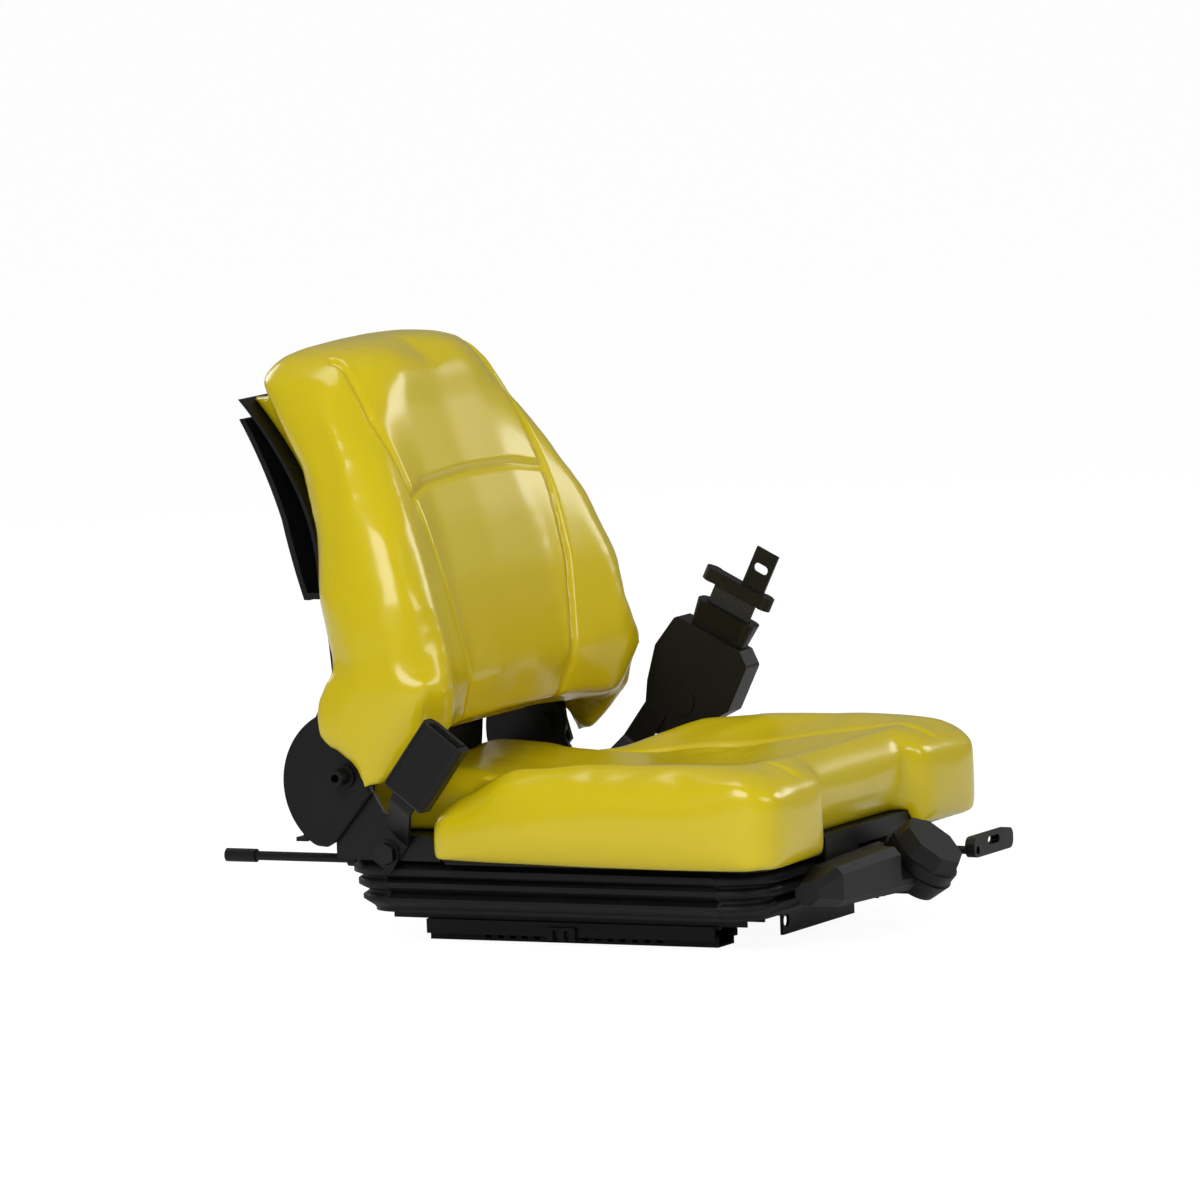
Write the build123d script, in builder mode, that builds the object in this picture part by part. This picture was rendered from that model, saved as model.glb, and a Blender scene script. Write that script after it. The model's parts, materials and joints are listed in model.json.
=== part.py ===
"""Low-profile suspension seat: rails, bellows suspension, cushions, hinged back and lap belt.

Millimetres. The front of the seat faces -Y, the sitter's left is +X and +Z is up. The origin is
the middle of the four floor bolts, on the underside of the rails.
"""
import os
from math import asin, cos, pi, radians, sin

from build123d import *

os.makedirs("parts", exist_ok=True)

pieces = {}
sides = ((-1, "right"), (1, "left"))

# slide rails
rail_gauge = 216
rail_length = 306
rail_sheet = 2.5
lower_width = 34
lower_height = 12
lower_lip = 5
upper_width = 50
upper_height = 20.5
upper_lip_z = 6.7
upper_lip = 6.5
rail_gap = 0.3
bolt_pitch = 250
bolt_hole = 8.6
latch_slot = 6
latch_pitch = 13
glide_length = 40

# suspension
tray_z = 36
tray_sheet = 3
riser_width = 40
riser_front = -185
riser_rear = 190
pan_z = 104
pan_sheet = 2.5
pan_rim_z = 86
pan_half = 222
pan_front = -247
pan_step = 84
pan_rear = 211
pan_rear_half = 200
pan_corner = 16
stroke = 30
arm_length = 280
arm_height = 14
arm_sheet = 5
arm_rear = 150
arm_low = 48
arm_top = 90
pin_r = 4
pin_gap = 0.05
roller_r = 7
roller_gap = 0.35
open_pivot_gap = 0.4
ear_r = 7.5
stud_length = 8.5
bump_r = 12
spring_r = 24
spring_bore = 18

# bellows, rear end of its section as steps out from the top ridge
bellows_half = 200
bellows_front = -238
bellows_rear = 214
bellows_corner = 52
bellows_outer = ((-8, 101.2), (-8, 84), (0, 77), (0, 71), (-10, 67), (-4, 63.5), (-4, 58.5),
                 (-15, 52.5), (-8, 48), (-8, 44.5), (-19, 37), (-19, 36.2))
bellows_inner = ((-22, 36.2), (-22, 37.5), (-11.5, 46), (-18.5, 52.5), (-7.5, 61), (-13.5, 67),
                 (-3.5, 74), (-11, 83), (-11, 101.2))

# seat cushion
cushion_half = 240
cushion_front = -268
recess_front = -247
recess_half = 98
cushion_rear = 96
tongue_half = 132
tongue_rear = 214
skirt_z = 88
cushion_gap = 0.4
front_corner = 34
lobe_corner = 14
rear_corner = 18
crest_x = cushion_half - 40
trough_x = cushion_half - 120
# station along the seat: (y, middle, trough side, bolster crest, outer edge) heights
cushion_tops = ((-275, 158, 158, 158, 148), (-235, 178, 179, 180, 168), (-150, 160, 164, 181, 168),
                (-50, 144, 149, 178, 166), (20, 141, 146, 172, 158), (80, 146, 150, 144, 128),
                (130, 153, 158, 120, 110), (220, 158, 163, 118, 108))

# hinge between seat and back
hinge_y = 191
hinge_z = 167
bracket_x = 200.2
bracket_sheet = 5
cover_x = 206
cover_thick = 8
hinge_pin_r = 6
hinge_gap = 0.05
boss_r = 8
boss_root_r = 11
boss_x = 236
boss_hole = 8
recline_y = 228
recline_z = 138
recline_reach = 50
recline_grip = 28
brace_y = 241
brace_z = 102

# back cushion stations: (z, half width, middle front, crest front, rear)
back_stations = ((200, 204, 122, 96, 200), (248, 226, 116, 82, 209), (337, 225, 134, 106, 222),
                 (400, 212, 152, 132, 227), (450, 194, 171, 160, 246), (500, 177, 188, 192, 283),
                 (536, 160, 196, 212, 310), (554, 134, 206, 221, 302), (561, 104, 218, 232, 288))
flap_in = 214.6
flap_out = 228
shell_half = 150
shell_thick = 4
panel_half = 140
panel_thick = 6
# each run of three points is an arc: start, middle and end
shell_curve = ((322, 518), (290, 477), (262, 428), (249, 390), (243, 345), (232, 262),
               (brace_y - 2.1 - shell_thick, brace_z + 40))
panel_curve = ((325, 498), (302, 452), (283, 402), (271, 354), (262, 325))

# lap belt
anchor_y = 152
anchor_z = 93
anchor_sheet = 3
anchor_width = 26
buckle_width = 50
buckle_length = 76
buckle_thick = 22
buckle_start = 74
buckle_out = 251
button_travel = 5
retractor_in = 243
retractor_thick = 29
webbing_width = 48
webbing_thick = 1.6

# weight adjuster and slide lever
drum_centre = (44, -287, 66)
drum_lean = 48
drum_r = 36
horn_tip = -166
horn_edge = 7
collar_taper = 16
lever_x = 125
lever_rod_r = 4
lever_pivot_z = 24

# switch lead
lead_x = -150
lead_z = 79
lead_r = 4.5
lead_end = 325
connector_r = 6.5
connector_length = 32


def arc_chain(points, shift):
    """Draws arcs through each run of three points, moved along by shift."""
    moved = [(y + shift, z) for y, z in points]
    for first, through, last in zip(moved[::2], moved[1::2], moved[2::2]):
        ThreePointArc(first, through, last)
    return moved[0], moved[-1]


# slide rails
for side, hand in sides:
    middle = side * rail_gauge / 2
    with BuildPart() as lower_rail:
        with BuildSketch(Plane.XZ.offset(-rail_length / 2)):
            with Locations((middle, rail_sheet / 2)):
                Rectangle(lower_width, rail_sheet)
            for edge in (-1, 1):
                with Locations((middle + edge * (lower_width - rail_sheet) / 2, lower_height / 2)):
                    Rectangle(rail_sheet, lower_height)
                lip_x = middle + edge * (lower_width + lower_lip - rail_sheet) / 2
                with Locations((lip_x, lower_height - rail_sheet / 2)):
                    Rectangle(lower_lip + rail_sheet, rail_sheet)
        extrude(amount=rail_length)
        with Locations(*[(middle, end * bolt_pitch / 2, 0) for end in (-1, 1)]):
            Cylinder(bolt_hole / 2, 4 * rail_sheet, mode=Mode.SUBTRACT)
        with Locations((middle + side * (lower_width - rail_sheet) / 2, 0, rail_sheet + latch_slot / 3)):
            with GridLocations(0, latch_pitch, 1, 15):
                Box(3 * rail_sheet, latch_slot, latch_slot * 0.66, mode=Mode.SUBTRACT)
    pieces[f"lower_rail_{hand}"] = lower_rail

    with BuildPart() as upper_rail:
        with BuildSketch(Plane.XZ.offset(-rail_length / 2)):
            with Locations((middle, upper_height - rail_sheet / 2)):
                Rectangle(upper_width, rail_sheet)
            wall = upper_height - upper_lip_z
            for edge in (-1, 1):
                wall_x = middle + edge * (upper_width - rail_sheet) / 2
                with Locations((wall_x, upper_lip_z + wall / 2)):
                    Rectangle(rail_sheet, wall)
                with Locations((middle + edge * (upper_width - upper_lip) / 2, upper_lip_z + rail_sheet / 2)):
                    Rectangle(upper_lip, rail_sheet)
        extrude(amount=rail_length)
        with Locations((middle, -rail_length / 2 + 14, upper_height)):
            Cylinder(5, 4 * rail_sheet, mode=Mode.SUBTRACT)
    pieces[f"upper_rail_{hand}"] = upper_rail

glide_height = upper_height - rail_sheet - lower_height - rail_gap
with BuildPart() as rail_glides:
    for side, hand in sides:
        for edge in (-1, 1):
            glide_x = side * rail_gauge / 2 + edge * (lower_width + lower_lip) / 2
            for end in (-1, 1):
                with Locations((glide_x, end * 118, lower_height + rail_gap + glide_height / 2)):
                    Box(lower_lip, glide_length, glide_height)
pieces["rail_glides"] = rail_glides

with BuildPart() as latch_guards:
    for side, hand in sides:
        guard_x = side * (rail_gauge / 2 + upper_width / 2 + 1.5)
        with Locations((guard_x, 8, 9.5)):
            Box(3, 30, 13)
        with Locations((guard_x, 2, 8), (guard_x, 14, 8)):
            Box(4, 5, 10, mode=Mode.SUBTRACT)
pieces["latch_guards"] = latch_guards

# suspension base: two risers on the upper rails carry the tray
arm_lean = asin((arm_top - arm_low) / arm_length)
arm_front = arm_rear - arm_length * cos(arm_lean)
tray_centre = (bellows_front + bellows_rear) / 2
tray_depth = bellows_rear - bellows_front - 40
tray_half = bellows_half - 20
inner_arm_x = 110
outer_arm_x = 118
ear_x = 126
pan_ear_x = ear_x + arm_sheet + 2
with BuildPart() as base_frame:
    with BuildSketch(Plane.XY.offset(tray_z - tray_sheet)):
        with Locations((0, tray_centre)):
            RectangleRounded(2 * tray_half, tray_depth, bellows_corner - 20)
    extrude(amount=tray_sheet)
    for side, hand in sides:
        middle = side * rail_gauge / 2
        riser_height = tray_z - tray_sheet - upper_height
        with Locations((middle, (riser_front + riser_rear) / 2, upper_height + riser_height / 2)):
            Box(riser_width, riser_rear - riser_front, riser_height)
        with Locations((middle, (riser_front + riser_rear) / 2, upper_height + riser_height / 2 - 1.25)):
            Box(riser_width - 5, riser_rear - riser_front + 2, riser_height - 2.5, mode=Mode.SUBTRACT)
        with Locations((middle, (riser_front + riser_rear) / 2, upper_height + 1.25)):
            Box(riser_width, riser_rear - riser_front - 90, 2.5)
        with BuildSketch(Plane.YZ.offset(side * ear_x + min(side, 0) * arm_sheet)):
            with BuildLine():
                Polyline((arm_rear - 16, tray_z - 1), (arm_rear - ear_r, arm_low + ear_r),
                         (arm_rear + ear_r, arm_low + ear_r), (arm_rear + 16, tray_z - 1), close=True)
            make_face()
            with Locations((arm_rear, arm_low)):
                Circle(pin_r + pin_gap / 2, mode=Mode.SUBTRACT)
        extrude(amount=arm_sheet)
        channel_x = side * (inner_arm_x - 6.5)
        with Locations((channel_x, arm_front, arm_low + 0.5)):
            Box(9, 50, 25)
        with Locations((channel_x + side, arm_front, arm_low)):
            Box(11, 40, 2 * (roller_r + roller_gap), mode=Mode.SUBTRACT)
    with Locations((0, riser_front - 12, 20)):
        Box(rail_gauge - 60, 3, 26)
    with Locations((0, riser_front - 5, tray_z - 1.5)):
        Box(rail_gauge - 60, 16, 3)
    with Locations((-70, riser_front - 12, 20)):
        Cylinder(6, 12, rotation=(90, 0, 0), mode=Mode.SUBTRACT)
pieces["base_frame"] = base_frame

with BuildPart() as base_pivot_rod:
    with Locations((0, arm_rear, arm_low)):
        Cylinder(pin_r, 2 * (ear_x + arm_sheet + 1), rotation=(0, 90, 0))
pieces["base_pivot_rod"] = base_pivot_rod

with BuildPart() as top_pivot_rod:
    with Locations((0, arm_rear, arm_top)):
        Cylinder(pin_r, 2 * (pan_ear_x + arm_sheet + 2), rotation=(0, 90, 0))
pieces["top_pivot_rod"] = top_pivot_rod

# scissor arms: the outer pair climbs forward, the inner pair falls forward
for word, arm_x, start_z, rise in (("outer", outer_arm_x, arm_low, 1), ("inner", inner_arm_x, arm_top, -1)):
    along = Plane(origin=(0, arm_rear, start_z), x_dir=(0, -cos(arm_lean), rise * sin(arm_lean)), z_dir=(1, 0, 0))
    with BuildPart() as scissor_arms:
        for side, hand in sides:
            with BuildSketch(along.offset(side * arm_x + min(side, 0) * arm_sheet)):
                with Locations((arm_length / 2, 0)):
                    SlotCenterToCenter(arm_length, arm_height)
                Circle(pin_r + pin_gap, mode=Mode.SUBTRACT)
                if word == "inner":
                    with Locations((arm_length / 2, 0)):
                        Circle(pin_r + open_pivot_gap, mode=Mode.SUBTRACT)
            extrude(amount=arm_sheet)
    pieces[f"{word}_arms"] = scissor_arms

with BuildPart() as centre_pins:
    for side, hand in sides:
        with Locations((side * (outer_arm_x - stud_length / 2 - 0.5), arm_rear - arm_length / 2 * cos(arm_lean),
                        (arm_low + arm_top) / 2)):
            Cylinder(pin_r, stud_length + 1, rotation=(0, 90, 0))
pieces["centre_pins"] = centre_pins

stud_top_x = outer_arm_x + arm_sheet + stud_length / 2
stud_base_x = inner_arm_x - stud_length / 2
for word, roller_x, roller_z, pin_x in (("top", outer_arm_x + 10.5, arm_top, stud_top_x),
                                        ("base", inner_arm_x - 5.5, arm_low, stud_base_x)):
    with BuildPart() as rollers:
        for side, hand in sides:
            with Locations((side * roller_x, arm_front, roller_z)):
                Cylinder(roller_r, 8, rotation=(0, 90, 0))
            with Locations((side * pin_x, arm_front, roller_z)):
                Cylinder(pin_r, stud_length, rotation=(0, 90, 0))
    pieces[f"{word}_rollers"] = rollers

with BuildPart() as bump_stops:
    with Locations((0, -20, tray_z)):
        with GridLocations(300, 280, 2, 2):
            Cylinder(bump_r, pan_z - pan_sheet - stroke - tray_z - 0.5,
                     align=(Align.CENTER, Align.CENTER, Align.MIN))
pieces["bump_stops"] = bump_stops

spring_height = pan_z - pan_sheet - tray_z
with BuildPart() as suspension_springs:
    with BuildSketch(Plane.XY.offset(tray_z)):
        with Locations((-60, 40), (60, 40)):
            RegularPolygon(spring_r, 16)
            RegularPolygon(spring_bore, 16, mode=Mode.SUBTRACT)
    extrude(amount=spring_height)
pieces["suspension_springs"] = suspension_springs

with BuildPart() as damper_tube:
    with Locations((0, 40, tray_z)):
        Cylinder(15, 35, align=(Align.CENTER, Align.CENTER, Align.MIN))
    with Locations((0, 40, tray_z + 2.5)):
        Cylinder(11, 35, align=(Align.CENTER, Align.CENTER, Align.MIN), mode=Mode.SUBTRACT)
pieces["damper_tube"] = damper_tube

with BuildPart() as damper_rod:
    with Locations((0, 40, tray_z + 33)):
        Cylinder(10.6, pan_z - pan_sheet - tray_z - 33, align=(Align.CENTER, Align.CENTER, Align.MIN))
pieces["damper_rod"] = damper_rod

# bellows: half the ring is swept, then mirrored
with BuildPart() as bellows:
    with BuildLine() as ring:
        FilletPolyline((0, bellows_rear), (bellows_half, bellows_rear), (bellows_half, bellows_front),
                       (0, bellows_front), radius=bellows_corner)
    with BuildSketch(Plane.YZ):
        with BuildLine():
            Polyline(*[(bellows_rear + out, z) for out, z in bellows_outer + bellows_inner], close=True)
        make_face()
    sweep(path=ring.wires()[0])
    mirror(about=Plane.YZ)
pieces["bellows"] = bellows

# seat pan with its rim, hinge ears and roller channels
with BuildPart() as seat_pan:
    with BuildSketch(Plane.XY.offset(pan_rim_z)) as pan_plan:
        with Locations((0, (pan_front + pan_step) / 2)):
            Rectangle(2 * pan_half, pan_step - pan_front)
        with Locations((0, (pan_front + pan_rear) / 2)):
            Rectangle(2 * pan_rear_half, pan_rear - pan_front)
        chamfer(pan_plan.vertices().group_by(Axis.Y)[0], pan_corner)
    extrude(amount=pan_z - pan_rim_z)
    with BuildSketch(Plane.XY.offset(pan_rim_z)) as pan_hollow:
        with Locations((0, (pan_front + pan_step) / 2)):
            Rectangle(2 * pan_half - 2 * pan_sheet, pan_step - pan_front - 2 * pan_sheet)
        with Locations((0, (pan_front + pan_rear) / 2)):
            Rectangle(2 * pan_rear_half - 2 * pan_sheet, pan_rear - pan_front - 2 * pan_sheet)
        chamfer(pan_hollow.vertices().group_by(Axis.Y)[0], pan_corner - 0.6 * pan_sheet)
    extrude(amount=pan_z - pan_rim_z - pan_sheet, mode=Mode.SUBTRACT)
    with Locations((0, anchor_y, anchor_z)):
        Cylinder(6.1, 2 * pan_half, rotation=(0, 90, 0), mode=Mode.SUBTRACT)
    for side, hand in sides:
        with BuildSketch(Plane.YZ.offset(side * pan_ear_x + min(side, 0) * arm_sheet)):
            with BuildLine():
                Polyline((arm_rear - 16, pan_z - 1), (arm_rear - ear_r, arm_top - ear_r),
                         (arm_rear + ear_r, arm_top - ear_r), (arm_rear + 16, pan_z - 1), close=True)
            make_face()
            with Locations((arm_rear, arm_top)):
                Circle(pin_r + pin_gap / 2, mode=Mode.SUBTRACT)
        extrude(amount=arm_sheet)
        channel_x = side * (outer_arm_x + 11)
        with Locations((channel_x, arm_front, arm_top + 0.5)):
            Box(9, 50, 25)
        with Locations((channel_x - side, arm_front, arm_top)):
            Box(11, 40, 2 * (roller_r + roller_gap), mode=Mode.SUBTRACT)
pieces["seat_pan"] = seat_pan

# seat cushion: lofted top trimmed to the plan, hollowed below for the pan
with BuildPart() as seat_cushion:
    for y, mid, trough, crest, edge in cushion_tops:
        with BuildSketch(Plane.XZ.offset(-y)):
            with BuildLine():
                half_top = [(0, mid), (trough_x / 2, (mid + trough) / 2 - 0.5), (trough_x, trough),
                            ((trough_x + crest_x) / 2, (trough + crest) / 2), (crest_x - 14, crest - 2),
                            (crest_x + 8, crest - 1), (crest_x + 28, (crest + edge) / 2),
                            (cushion_half + 12, edge), (cushion_half + 12, 80)]
                Polyline(*half_top, *[(-x, z) for x, z in reversed(half_top[1:])], close=True)
            make_face()
    loft(ruled=True)
    with BuildSketch(Plane.XY.offset(skirt_z)) as cushion_plan:
        with BuildLine():
            half_plan = [(recess_half, recess_front), (recess_half + 14, cushion_front),
                         (cushion_half, cushion_front), (cushion_half, cushion_rear),
                         (tongue_half, cushion_rear), (tongue_half, tongue_rear)]
            Polyline(*half_plan, *[(-x, y) for x, y in reversed(half_plan)], close=True)
        make_face()
        lobes = cushion_plan.vertices().group_by(Axis.Y)[0].sort_by(Axis.X)
        fillet((lobes[0], lobes[-1]), front_corner)
        lobes = cushion_plan.vertices().group_by(Axis.Y)[0].sort_by(Axis.X)
        fillet((lobes[1], lobes[2]), lobe_corner)
        flanks = cushion_plan.vertices().filter_by_position(Axis.Y, cushion_rear - 1, cushion_rear + 1)
        fillet((flanks.sort_by(Axis.X)[0], flanks.sort_by(Axis.X)[-1]), rear_corner)
    extrude(amount=120, mode=Mode.INTERSECT)
    with BuildSketch(Plane.XY.offset(skirt_z - 10)):
        with Locations((0, (pan_front + pan_step) / 2)):
            Rectangle(2 * (pan_half + 0.6), pan_step - pan_front + 1.2)
        with Locations((0, pan_rear / 2)):
            Rectangle(2 * (pan_rear_half + 0.6), pan_rear + 20)
        with Locations((0, recess_front)):
            Rectangle(2 * recess_half + 4, 40)
    extrude(amount=pan_z + cushion_gap - skirt_z + 10, mode=Mode.SUBTRACT)
pieces["seat_cushion"] = seat_cushion

# hinge plates on the seat and covers on the back
for side, hand in sides:
    with BuildPart() as seat_bracket:
        with BuildSketch(Plane.YZ.offset(side * bracket_x + min(side, 0) * bracket_sheet)):
            with BuildLine():
                Polyline((98, pan_rim_z), (98, 102), (112, 110), (136, 111), (156, 131), (169, 153),
                         (hinge_y - 22, hinge_z + 9), (hinge_y + 22, hinge_z + 9), (208, 140), (204, pan_rim_z),
                         close=True)
            make_face()
            with Locations((hinge_y, hinge_z)):
                Circle(24)
                Circle(hinge_pin_r + hinge_gap / 2, mode=Mode.SUBTRACT)
            with Locations((anchor_y, anchor_z)):
                Circle(6.1, mode=Mode.SUBTRACT)
        extrude(amount=bracket_sheet)
    pieces[f"seat_bracket_{hand}"] = seat_bracket

    with BuildPart() as hinge_pin:
        inward = Plane(origin=(side * (bracket_x - 0.1), hinge_y, hinge_z), z_dir=(-side, 0, 0))
        with BuildSketch(inward):
            RegularPolygon(hinge_pin_r + 4, 6)
        extrude(amount=3.2)
        with BuildSketch(inward):
            Circle(hinge_pin_r)
        extrude(amount=-(cover_x + cover_thick - bracket_x - 0.2))
    pieces[f"hinge_pin_{hand}"] = hinge_pin

    with BuildPart() as hinge_cover:
        with BuildSketch(Plane.YZ.offset(side * cover_x + min(side, 0) * cover_thick)):
            with BuildLine():
                rear = ThreePointArc((222, 222), (258, 164), (225, 99))
                Polyline(rear @ 1, (215, 98), (206, 103), (165, 151), (171, 172), (178, 234), (216, 234), rear @ 0)
            make_face()
            with Locations((hinge_y, hinge_z)):
                Circle(hinge_pin_r + hinge_gap, mode=Mode.SUBTRACT)
            if hand == "left":
                with Locations((recline_y, recline_z)):
                    Circle(4.02, mode=Mode.SUBTRACT)
        extrude(amount=cover_thick)
        outer = hinge_cover.faces().sort_by(Axis.X)[-1 if side > 0 else 0]
        rim = outer.edges().filter_by(GeomType.CIRCLE, reverse=True)
        chamfer(rim, 2)
    pieces[f"hinge_cover_{hand}"] = hinge_cover

with BuildPart() as armrest_bosses:
    for side, hand in sides:
        outward = Plane(origin=(side * (cover_x + cover_thick), hinge_y, hinge_z), z_dir=(side, 0, 0))
        with BuildSketch(outward):
            Circle(boss_root_r)
        extrude(amount=5)
        with BuildSketch(outward):
            Circle(boss_r)
        extrude(amount=boss_x - cover_x - cover_thick)
        with BuildSketch(outward.offset(6)):
            Circle(boss_hole / 2)
        extrude(amount=40, mode=Mode.SUBTRACT)
pieces["armrest_bosses"] = armrest_bosses

# back cushion: lofted body with a flap over each hinge cover
with BuildPart() as back_cushion:
    for z, half, middle, crest, rear in back_stations:
        with BuildSketch(Plane.XY.offset(z)):
            with BuildLine():
                right = [(0, middle), (0.45 * half, middle - 2), (0.7 * half, (middle + crest) / 2 - 2),
                         (0.83 * half, crest + 3), (0.91 * half, crest), (0.97 * half, crest + 9),
                         (half, crest + 26), (half, rear - 24), (0.96 * half, rear - 8), (0.86 * half, rear),
                         (0.4 * half, rear + 3)]
                Polyline(*right, (0, rear + 3), *[(-x, y) for x, y in reversed(right[1:])], close=True)
            make_face()
    loft(ruled=True)
    for side, hand in sides:
        with BuildSketch(Plane.YZ.offset(side * (flap_in - 14) + min(side, 0) * (flap_out - flap_in + 14))):
            with BuildLine():
                Polyline((208, 262), (220, 228), (219, 212), (212, 195), (188, 182), (176, 172), (165, 154),
                         (152, 156), (128, 178), (102, 206), (92, 262), close=True)
            make_face()
        extrude(amount=flap_out - flap_in + 14)
    for side, hand in sides:
        with Locations((side * (cover_x + flap_in - 0.6) / 2, 205, 190)):
            Box(flap_in - cover_x + 0.6, 110, 90, mode=Mode.SUBTRACT)
        with Locations((side * 197, 165, 170)):
            Box(24, 150, 60, mode=Mode.SUBTRACT)
pieces["back_cushion"] = back_cushion

with BuildPart() as back_shell:
    with BuildSketch(Plane.YZ.offset(-shell_half)):
        with BuildLine():
            inside = arc_chain(shell_curve, 0)
            outside = arc_chain(shell_curve, shell_thick)
            Line(inside[0], outside[0])
            Line(inside[1], outside[1])
        make_face()
    extrude(amount=2 * shell_half)
pieces["back_shell"] = back_shell

with BuildPart() as rear_panel:
    with BuildSketch(Plane.YZ.offset(-panel_half)):
        with BuildLine():
            inside = arc_chain(panel_curve, 0)
            outside = arc_chain(panel_curve, panel_thick)
            Line(inside[0], outside[0])
            Line(inside[1], outside[1])
        make_face()
    extrude(amount=2 * panel_half)
    with Locations((0, 252, 329)):
        Box(2 * panel_half, 24, panel_thick)
    with BuildSketch(Plane.YZ.offset(-shell_half)):
        with BuildLine():
            inside = arc_chain(shell_curve, -20)
            outside = arc_chain(shell_curve, shell_thick + 0.15)
            Line(inside[0], outside[0])
            Line(inside[1], outside[1])
        make_face()
    extrude(amount=2 * shell_half, mode=Mode.SUBTRACT)
pieces["rear_panel"] = rear_panel

with BuildPart() as rear_brace:
    with Locations((0, brace_y, brace_z + 22)):
        Box(2 * cover_x, 4, 44)
    with Locations((0, brace_y + 4, brace_z + 2)):
        Box(2 * cover_x, 12, 4)
pieces["rear_brace"] = rear_brace

# lap belt: bent anchor straps, buckle on the right, retractor on the left
strap_up = (0, -0.6, 0.8)
strap_across = (0, 0.8, 0.6)
strap_x = bracket_x + bracket_sheet + 0.1
for side, hand, reach, top in ((-1, "right", buckle_out - strap_x - anchor_sheet / 2, 95),
                               (1, "left", retractor_in - strap_x - anchor_sheet - 0.1, 106)):
    strap_plane = Plane(origin=(side * strap_x, anchor_y, anchor_z), x_dir=(side, 0, 0),
                        z_dir=(0, -0.8 * side, -0.6 * side))
    with BuildPart() as belt_anchor:
        with BuildSketch(strap_plane):
            with BuildLine():
                bend = FilletPolyline((0, -15), (0, 20), (reach, 64), (reach, top), radius=6)
                offset(bend, amount=anchor_sheet, side=Side.RIGHT)
            make_face()
        extrude(amount=anchor_width / 2, both=True)
        with Locations((side * strap_x, anchor_y, anchor_z)):
            Cylinder(6.1, 20, rotation=(0, 90, 0), mode=Mode.SUBTRACT)
    pieces[f"belt_anchor_{hand}"] = belt_anchor

with BuildPart() as anchor_bolts:
    for side, hand in sides:
        outward = Plane(origin=(side * (strap_x + anchor_sheet + 0.1), anchor_y, anchor_z), z_dir=(side, 0, 0))
        with BuildSketch(outward):
            Circle(13)
        extrude(amount=2)
        with BuildSketch(outward.offset(2)):
            RegularPolygon(11, 6)
        extrude(amount=7)
        with BuildSketch(outward):
            Circle(6)
        extrude(amount=-(strap_x + anchor_sheet - bracket_x + 2))
pieces["anchor_bolts"] = anchor_bolts

buckle_base = Plane(origin=(-buckle_out, anchor_y - 0.6 * buckle_start, anchor_z + 0.8 * buckle_start),
                    x_dir=strap_across, z_dir=strap_up)
button_size = (36, 8)
with BuildPart() as buckle_housing:
    with BuildSketch(buckle_base):
        RectangleRounded(buckle_width, buckle_thick, 6)
    extrude(amount=buckle_length)
    chamfer(buckle_housing.faces().sort_by(Axis(buckle_base.origin, strap_up))[0].edges(), 3)
    with BuildSketch(buckle_base):
        Rectangle(anchor_width + 0.4, anchor_sheet + 0.4)
    extrude(amount=23, mode=Mode.SUBTRACT)
    with BuildSketch(buckle_base.offset(buckle_length - 34)):
        with Locations((0, 4)):
            RectangleRounded(38, 5, 2)
    extrude(amount=40, mode=Mode.SUBTRACT)
    with BuildSketch(buckle_base.offset(buckle_length - 16)):
        with Locations((0, -5)):
            Rectangle(*button_size)
    extrude(amount=20, mode=Mode.SUBTRACT)
pieces["buckle_housing"] = buckle_housing

with BuildPart() as buckle_button:
    with BuildSketch(buckle_base.offset(buckle_length - 16 + button_travel + 0.6)):
        with Locations((0, -5)):
            Rectangle(button_size[0] - 0.8, button_size[1] - 0.8)
    extrude(amount=16 - button_travel - 0.6 + 1.5)
pieces["buckle_button"] = buckle_button

sleeve_up = (0, -0.4472, 0.8944)
sleeve_base = Plane(origin=(retractor_in + retractor_thick / 2, 25, 250), x_dir=(0, -0.8944, -0.4472),
                    z_dir=sleeve_up)
with BuildPart() as retractor_housing:
    with BuildSketch(Plane.YZ.offset(retractor_in)):
        with BuildLine():
            Polyline((66, 268), (48, 273), (-3, 237), (-11, 220), (11, 176), (44, 160), (84, 152), (104, 156),
                     (98, 206), (88, 241), close=True)
        make_face()
        fillet(vertices(), 5)
    extrude(amount=retractor_thick)
    with BuildSketch(Plane.YZ.offset(retractor_in)):
        with Locations((62, 186)):
            Circle(15)
    extrude(amount=-2)
    with BuildSketch(sleeve_base.offset(0.1)):
        Rectangle(140, 80)
    extrude(amount=60, mode=Mode.SUBTRACT)
    with BuildSketch(sleeve_base.offset(-8)):
        RectangleRounded(webbing_width + 3, 5, 2)
    extrude(amount=30, mode=Mode.SUBTRACT)
pieces["retractor_housing"] = retractor_housing

with BuildPart() as belt_sleeve:
    with BuildSketch(sleeve_base.offset(0.2)):
        RectangleRounded(60, 19, 6)
    extrude(amount=25.8, taper=-7)
    with BuildSketch(sleeve_base):
        RectangleRounded(webbing_width + 3, 5, 2)
    extrude(amount=30, mode=Mode.SUBTRACT)
pieces["belt_sleeve"] = belt_sleeve

with BuildPart() as belt_webbing:
    with BuildSketch(sleeve_base.offset(-7.9)):
        Rectangle(webbing_width, webbing_thick)
    extrude(amount=7.9 + 53)
pieces["belt_webbing"] = belt_webbing

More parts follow.
